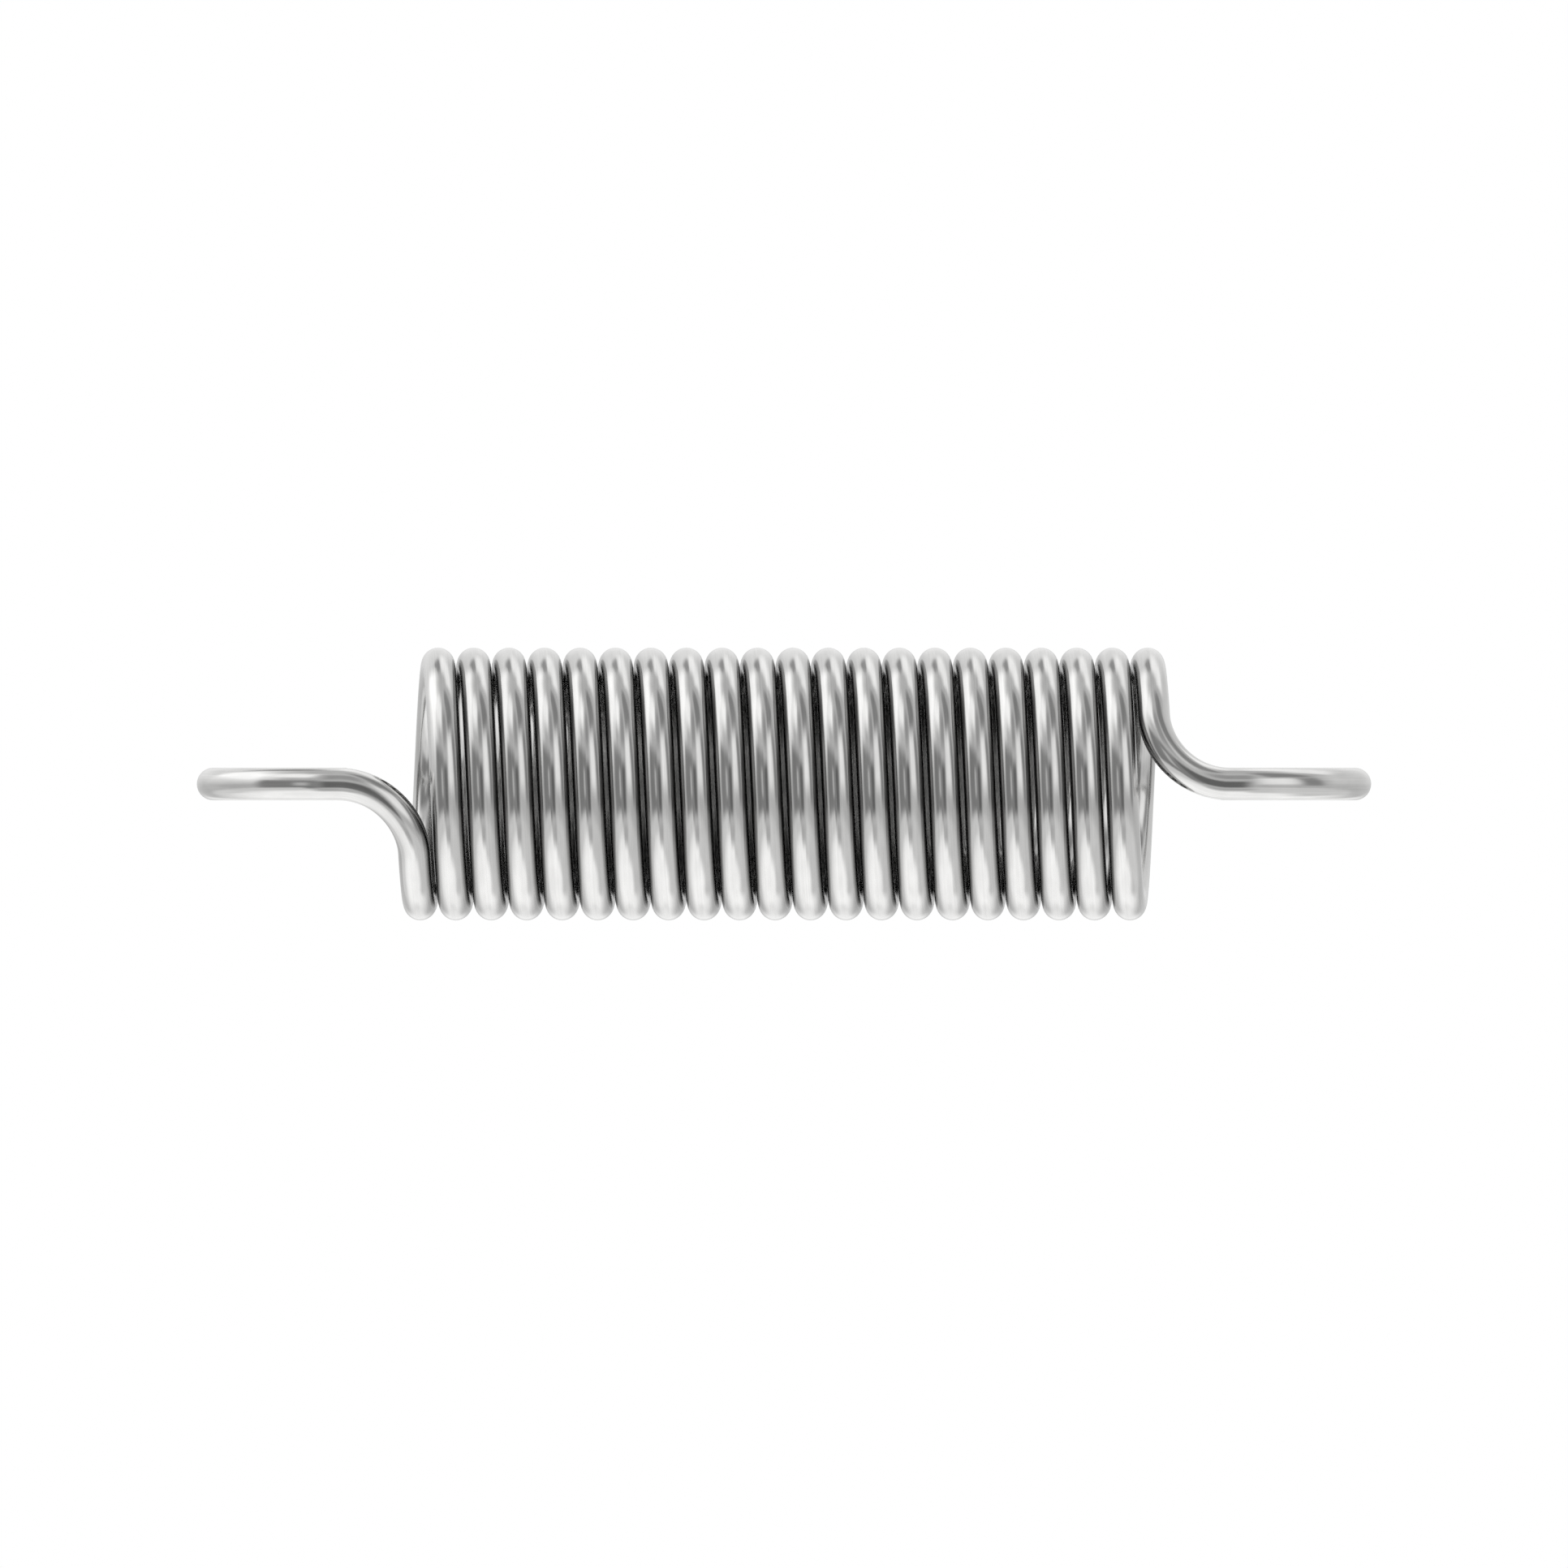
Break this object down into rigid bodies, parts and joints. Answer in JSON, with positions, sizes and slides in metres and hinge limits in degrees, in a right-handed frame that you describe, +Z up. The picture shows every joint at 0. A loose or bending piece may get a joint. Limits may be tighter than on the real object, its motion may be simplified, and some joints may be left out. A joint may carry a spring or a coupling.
{
  "type": "extension spring",
  "caption": "Close-wound steel extension spring with an open hook eye at each end, wound from one round wire.",
  "frame": {"origin": "centre of the left hook's eye, on the coil's axis", "axes": "+X along the coil's axis from the left eye to the right eye, +Z up, the eyes flat in the XY plane"},
  "size_m": [0.0723, 0.0168, 0.0168],
  "materials": {
    "spring_steel": "polished"
  },
  "bodies": {
    "left_hook": {"left_hook": "spring_steel"},
    "turn_01_top": {"turn_01_top": "spring_steel"},
    "turn_02_bottom": {"turn_02_bottom": "spring_steel"},
    "turn_02_top": {"turn_02_top": "spring_steel"},
    "turn_03_bottom": {"turn_03_bottom": "spring_steel"},
    "turn_03_top": {"turn_03_top": "spring_steel"},
    "turn_04_bottom": {"turn_04_bottom": "spring_steel"},
    "turn_04_top": {"turn_04_top": "spring_steel"},
    "turn_05_bottom": {"turn_05_bottom": "spring_steel"},
    "turn_05_top": {"turn_05_top": "spring_steel"},
    "turn_06_bottom": {"turn_06_bottom": "spring_steel"},
    "turn_06_top": {"turn_06_top": "spring_steel"},
    "turn_07_bottom": {"turn_07_bottom": "spring_steel"},
    "turn_07_top": {"turn_07_top": "spring_steel"},
    "turn_08_bottom": {"turn_08_bottom": "spring_steel"},
    "turn_08_top": {"turn_08_top": "spring_steel"},
    "turn_09_bottom": {"turn_09_bottom": "spring_steel"},
    "turn_09_top": {"turn_09_top": "spring_steel"},
    "turn_10_bottom": {"turn_10_bottom": "spring_steel"},
    "turn_10_top": {"turn_10_top": "spring_steel"},
    "turn_11_bottom": {"turn_11_bottom": "spring_steel"},
    "turn_11_top": {"turn_11_top": "spring_steel"},
    "turn_12_bottom": {"turn_12_bottom": "spring_steel"},
    "turn_12_top": {"turn_12_top": "spring_steel"},
    "turn_13_bottom": {"turn_13_bottom": "spring_steel"},
    "turn_13_top": {"turn_13_top": "spring_steel"},
    "turn_14_bottom": {"turn_14_bottom": "spring_steel"},
    "turn_14_top": {"turn_14_top": "spring_steel"},
    "turn_15_bottom": {"turn_15_bottom": "spring_steel"},
    "turn_15_top": {"turn_15_top": "spring_steel"},
    "turn_16_bottom": {"turn_16_bottom": "spring_steel"},
    "turn_16_top": {"turn_16_top": "spring_steel"},
    "turn_17_bottom": {"turn_17_bottom": "spring_steel"},
    "turn_17_top": {"turn_17_top": "spring_steel"},
    "turn_18_bottom": {"turn_18_bottom": "spring_steel"},
    "turn_18_top": {"turn_18_top": "spring_steel"},
    "turn_19_bottom": {"turn_19_bottom": "spring_steel"},
    "turn_19_top": {"turn_19_top": "spring_steel"},
    "turn_20_bottom": {"turn_20_bottom": "spring_steel"},
    "turn_20_top": {"turn_20_top": "spring_steel"},
    "turn_21_bottom": {"turn_21_bottom": "spring_steel"},
    "right_hook": {"right_hook": "spring_steel"}
  },
  "joints": [
    {"name": "stretch_01", "type": "slide", "parent": "left_hook", "child": "turn_01_top", "axis": [1, 0, 0], "range_m": [0, 0.00219], "stiffness_N_per_m": 67000},
    {"name": "bend_01", "type": "hinge", "parent": "turn_01_top", "child": "turn_02_bottom", "pos_m": [0.00701, -0.0074, 0], "axis": [0, 0, -1], "range_deg": [0, 9], "stiffness_Nm_per_rad": 3.1},
    {"name": "stretch_02", "type": "slide", "parent": "turn_02_bottom", "child": "turn_02_top", "axis": [1, 0, 0], "range_m": [0, 0.00292], "stiffness_N_per_m": 50000},
    {"name": "bend_02", "type": "hinge", "parent": "turn_02_top", "child": "turn_03_bottom", "pos_m": [0.0092, -0.0074, 0], "axis": [0, 0, -1], "range_deg": [0, 9], "stiffness_Nm_per_rad": 3.1},
    {"name": "stretch_03", "type": "slide", "parent": "turn_03_bottom", "child": "turn_03_top", "axis": [1, 0, 0], "range_m": [0, 0.00292], "stiffness_N_per_m": 50000},
    {"name": "bend_03", "type": "hinge", "parent": "turn_03_top", "child": "turn_04_bottom", "pos_m": [0.01138, -0.0074, 0], "axis": [0, 0, -1], "range_deg": [0, 9], "stiffness_Nm_per_rad": 3.1},
    {"name": "stretch_04", "type": "slide", "parent": "turn_04_bottom", "child": "turn_04_top", "axis": [1, 0, 0], "range_m": [0, 0.00292], "stiffness_N_per_m": 50000},
    {"name": "bend_04", "type": "hinge", "parent": "turn_04_top", "child": "turn_05_bottom", "pos_m": [0.01357, -0.0074, 0], "axis": [0, 0, -1], "range_deg": [0, 9], "stiffness_Nm_per_rad": 3.1},
    {"name": "stretch_05", "type": "slide", "parent": "turn_05_bottom", "child": "turn_05_top", "axis": [1, 0, 0], "range_m": [0, 0.00292], "stiffness_N_per_m": 50000},
    {"name": "bend_05", "type": "hinge", "parent": "turn_05_top", "child": "turn_06_bottom", "pos_m": [0.01575, -0.0074, 0], "axis": [0, 0, -1], "range_deg": [0, 9], "stiffness_Nm_per_rad": 3.1},
    {"name": "stretch_06", "type": "slide", "parent": "turn_06_bottom", "child": "turn_06_top", "axis": [1, 0, 0], "range_m": [0, 0.00292], "stiffness_N_per_m": 50000},
    {"name": "bend_06", "type": "hinge", "parent": "turn_06_top", "child": "turn_07_bottom", "pos_m": [0.01794, -0.0074, 0], "axis": [0, 0, -1], "range_deg": [0, 9], "stiffness_Nm_per_rad": 3.1},
    {"name": "stretch_07", "type": "slide", "parent": "turn_07_bottom", "child": "turn_07_top", "axis": [1, 0, 0], "range_m": [0, 0.00292], "stiffness_N_per_m": 50000},
    {"name": "bend_07", "type": "hinge", "parent": "turn_07_top", "child": "turn_08_bottom", "pos_m": [0.02013, -0.0074, 0], "axis": [0, 0, -1], "range_deg": [0, 9], "stiffness_Nm_per_rad": 3.1},
    {"name": "stretch_08", "type": "slide", "parent": "turn_08_bottom", "child": "turn_08_top", "axis": [1, 0, 0], "range_m": [0, 0.00292], "stiffness_N_per_m": 50000},
    {"name": "bend_08", "type": "hinge", "parent": "turn_08_top", "child": "turn_09_bottom", "pos_m": [0.02231, -0.0074, 0], "axis": [0, 0, -1], "range_deg": [0, 9], "stiffness_Nm_per_rad": 3.1},
    {"name": "stretch_09", "type": "slide", "parent": "turn_09_bottom", "child": "turn_09_top", "axis": [1, 0, 0], "range_m": [0, 0.00292], "stiffness_N_per_m": 50000},
    {"name": "bend_09", "type": "hinge", "parent": "turn_09_top", "child": "turn_10_bottom", "pos_m": [0.0245, -0.0074, 0], "axis": [0, 0, -1], "range_deg": [0, 9], "stiffness_Nm_per_rad": 3.1},
    {"name": "stretch_10", "type": "slide", "parent": "turn_10_bottom", "child": "turn_10_top", "axis": [1, 0, 0], "range_m": [0, 0.00292], "stiffness_N_per_m": 50000},
    {"name": "bend_10", "type": "hinge", "parent": "turn_10_top", "child": "turn_11_bottom", "pos_m": [0.02668, -0.0074, 0], "axis": [0, 0, -1], "range_deg": [0, 9], "stiffness_Nm_per_rad": 3.1},
    {"name": "stretch_11", "type": "slide", "parent": "turn_11_bottom", "child": "turn_11_top", "axis": [1, 0, 0], "range_m": [0, 0.00292], "stiffness_N_per_m": 50000},
    {"name": "bend_11", "type": "hinge", "parent": "turn_11_top", "child": "turn_12_bottom", "pos_m": [0.02887, -0.0074, 0], "axis": [0, 0, -1], "range_deg": [0, 9], "stiffness_Nm_per_rad": 3.1},
    {"name": "stretch_12", "type": "slide", "parent": "turn_12_bottom", "child": "turn_12_top", "axis": [1, 0, 0], "range_m": [0, 0.00292], "stiffness_N_per_m": 50000},
    {"name": "bend_12", "type": "hinge", "parent": "turn_12_top", "child": "turn_13_bottom", "pos_m": [0.03105, -0.0074, 0], "axis": [0, 0, -1], "range_deg": [0, 9], "stiffness_Nm_per_rad": 3.1},
    {"name": "stretch_13", "type": "slide", "parent": "turn_13_bottom", "child": "turn_13_top", "axis": [1, 0, 0], "range_m": [0, 0.00292], "stiffness_N_per_m": 50000},
    {"name": "bend_13", "type": "hinge", "parent": "turn_13_top", "child": "turn_14_bottom", "pos_m": [0.03324, -0.0074, 0], "axis": [0, 0, -1], "range_deg": [0, 9], "stiffness_Nm_per_rad": 3.1},
    {"name": "stretch_14", "type": "slide", "parent": "turn_14_bottom", "child": "turn_14_top", "axis": [1, 0, 0], "range_m": [0, 0.00292], "stiffness_N_per_m": 50000},
    {"name": "bend_14", "type": "hinge", "parent": "turn_14_top", "child": "turn_15_bottom", "pos_m": [0.03543, -0.0074, 0], "axis": [0, 0, -1], "range_deg": [0, 9], "stiffness_Nm_per_rad": 3.1},
    {"name": "stretch_15", "type": "slide", "parent": "turn_15_bottom", "child": "turn_15_top", "axis": [1, 0, 0], "range_m": [0, 0.00292], "stiffness_N_per_m": 50000},
    {"name": "bend_15", "type": "hinge", "parent": "turn_15_top", "child": "turn_16_bottom", "pos_m": [0.03761, -0.0074, 0], "axis": [0, 0, -1], "range_deg": [0, 9], "stiffness_Nm_per_rad": 3.1},
    {"name": "stretch_16", "type": "slide", "parent": "turn_16_bottom", "child": "turn_16_top", "axis": [1, 0, 0], "range_m": [0, 0.00292], "stiffness_N_per_m": 50000},
    {"name": "bend_16", "type": "hinge", "parent": "turn_16_top", "child": "turn_17_bottom", "pos_m": [0.0398, -0.0074, 0], "axis": [0, 0, -1], "range_deg": [0, 9], "stiffness_Nm_per_rad": 3.1},
    {"name": "stretch_17", "type": "slide", "parent": "turn_17_bottom", "child": "turn_17_top", "axis": [1, 0, 0], "range_m": [0, 0.00292], "stiffness_N_per_m": 50000},
    {"name": "bend_17", "type": "hinge", "parent": "turn_17_top", "child": "turn_18_bottom", "pos_m": [0.04199, -0.0074, 0], "axis": [0, 0, -1], "range_deg": [0, 9], "stiffness_Nm_per_rad": 3.1},
    {"name": "stretch_18", "type": "slide", "parent": "turn_18_bottom", "child": "turn_18_top", "axis": [1, 0, 0], "range_m": [0, 0.00292], "stiffness_N_per_m": 50000},
    {"name": "bend_18", "type": "hinge", "parent": "turn_18_top", "child": "turn_19_bottom", "pos_m": [0.04417, -0.0074, 0], "axis": [0, 0, -1], "range_deg": [0, 9], "stiffness_Nm_per_rad": 3.1},
    {"name": "stretch_19", "type": "slide", "parent": "turn_19_bottom", "child": "turn_19_top", "axis": [1, 0, 0], "range_m": [0, 0.00292], "stiffness_N_per_m": 50000},
    {"name": "bend_19", "type": "hinge", "parent": "turn_19_top", "child": "turn_20_bottom", "pos_m": [0.04636, -0.0074, 0], "axis": [0, 0, -1], "range_deg": [0, 9], "stiffness_Nm_per_rad": 3.1},
    {"name": "stretch_20", "type": "slide", "parent": "turn_20_bottom", "child": "turn_20_top", "axis": [1, 0, 0], "range_m": [0, 0.00292], "stiffness_N_per_m": 50000},
    {"name": "bend_20", "type": "hinge", "parent": "turn_20_top", "child": "turn_21_bottom", "pos_m": [0.04854, -0.0074, 0], "axis": [0, 0, -1], "range_deg": [0, 9], "stiffness_Nm_per_rad": 3.1},
    {"name": "stretch_21", "type": "slide", "parent": "turn_21_bottom", "child": "right_hook", "axis": [1, 0, 0], "range_m": [0, 0.00219], "stiffness_N_per_m": 67000}
  ],
  "couplings": [
    {"joint": "stretch_01", "follows": "stretch_02", "ratio": 0.75},
    {"joint": "stretch_03", "follows": "stretch_02", "ratio": 1},
    {"joint": "stretch_04", "follows": "stretch_02", "ratio": 1},
    {"joint": "stretch_05", "follows": "stretch_02", "ratio": 1},
    {"joint": "stretch_06", "follows": "stretch_02", "ratio": 1},
    {"joint": "stretch_07", "follows": "stretch_02", "ratio": 1},
    {"joint": "stretch_08", "follows": "stretch_02", "ratio": 1},
    {"joint": "stretch_09", "follows": "stretch_02", "ratio": 1},
    {"joint": "stretch_10", "follows": "stretch_02", "ratio": 1},
    {"joint": "stretch_11", "follows": "stretch_02", "ratio": 1},
    {"joint": "stretch_12", "follows": "stretch_02", "ratio": 1},
    {"joint": "stretch_13", "follows": "stretch_02", "ratio": 1},
    {"joint": "stretch_14", "follows": "stretch_02", "ratio": 1},
    {"joint": "stretch_15", "follows": "stretch_02", "ratio": 1},
    {"joint": "stretch_16", "follows": "stretch_02", "ratio": 1},
    {"joint": "stretch_17", "follows": "stretch_02", "ratio": 1},
    {"joint": "stretch_18", "follows": "stretch_02", "ratio": 1},
    {"joint": "stretch_19", "follows": "stretch_02", "ratio": 1},
    {"joint": "stretch_20", "follows": "stretch_02", "ratio": 1},
    {"joint": "stretch_21", "follows": "stretch_02", "ratio": 0.75},
    {"joint": "bend_02", "follows": "bend_01", "ratio": 1},
    {"joint": "bend_03", "follows": "bend_01", "ratio": 1},
    {"joint": "bend_04", "follows": "bend_01", "ratio": 1},
    {"joint": "bend_05", "follows": "bend_01", "ratio": 1},
    {"joint": "bend_06", "follows": "bend_01", "ratio": 1},
    {"joint": "bend_07", "follows": "bend_01", "ratio": 1},
    {"joint": "bend_08", "follows": "bend_01", "ratio": 1},
    {"joint": "bend_09", "follows": "bend_01", "ratio": 1},
    {"joint": "bend_10", "follows": "bend_01", "ratio": 1},
    {"joint": "bend_11", "follows": "bend_01", "ratio": 1},
    {"joint": "bend_12", "follows": "bend_01", "ratio": 1},
    {"joint": "bend_13", "follows": "bend_01", "ratio": 1},
    {"joint": "bend_14", "follows": "bend_01", "ratio": 1},
    {"joint": "bend_15", "follows": "bend_01", "ratio": 1},
    {"joint": "bend_16", "follows": "bend_01", "ratio": 1},
    {"joint": "bend_17", "follows": "bend_01", "ratio": 1},
    {"joint": "bend_18", "follows": "bend_01", "ratio": 1},
    {"joint": "bend_19", "follows": "bend_01", "ratio": 1},
    {"joint": "bend_20", "follows": "bend_01", "ratio": 1}
  ]
}
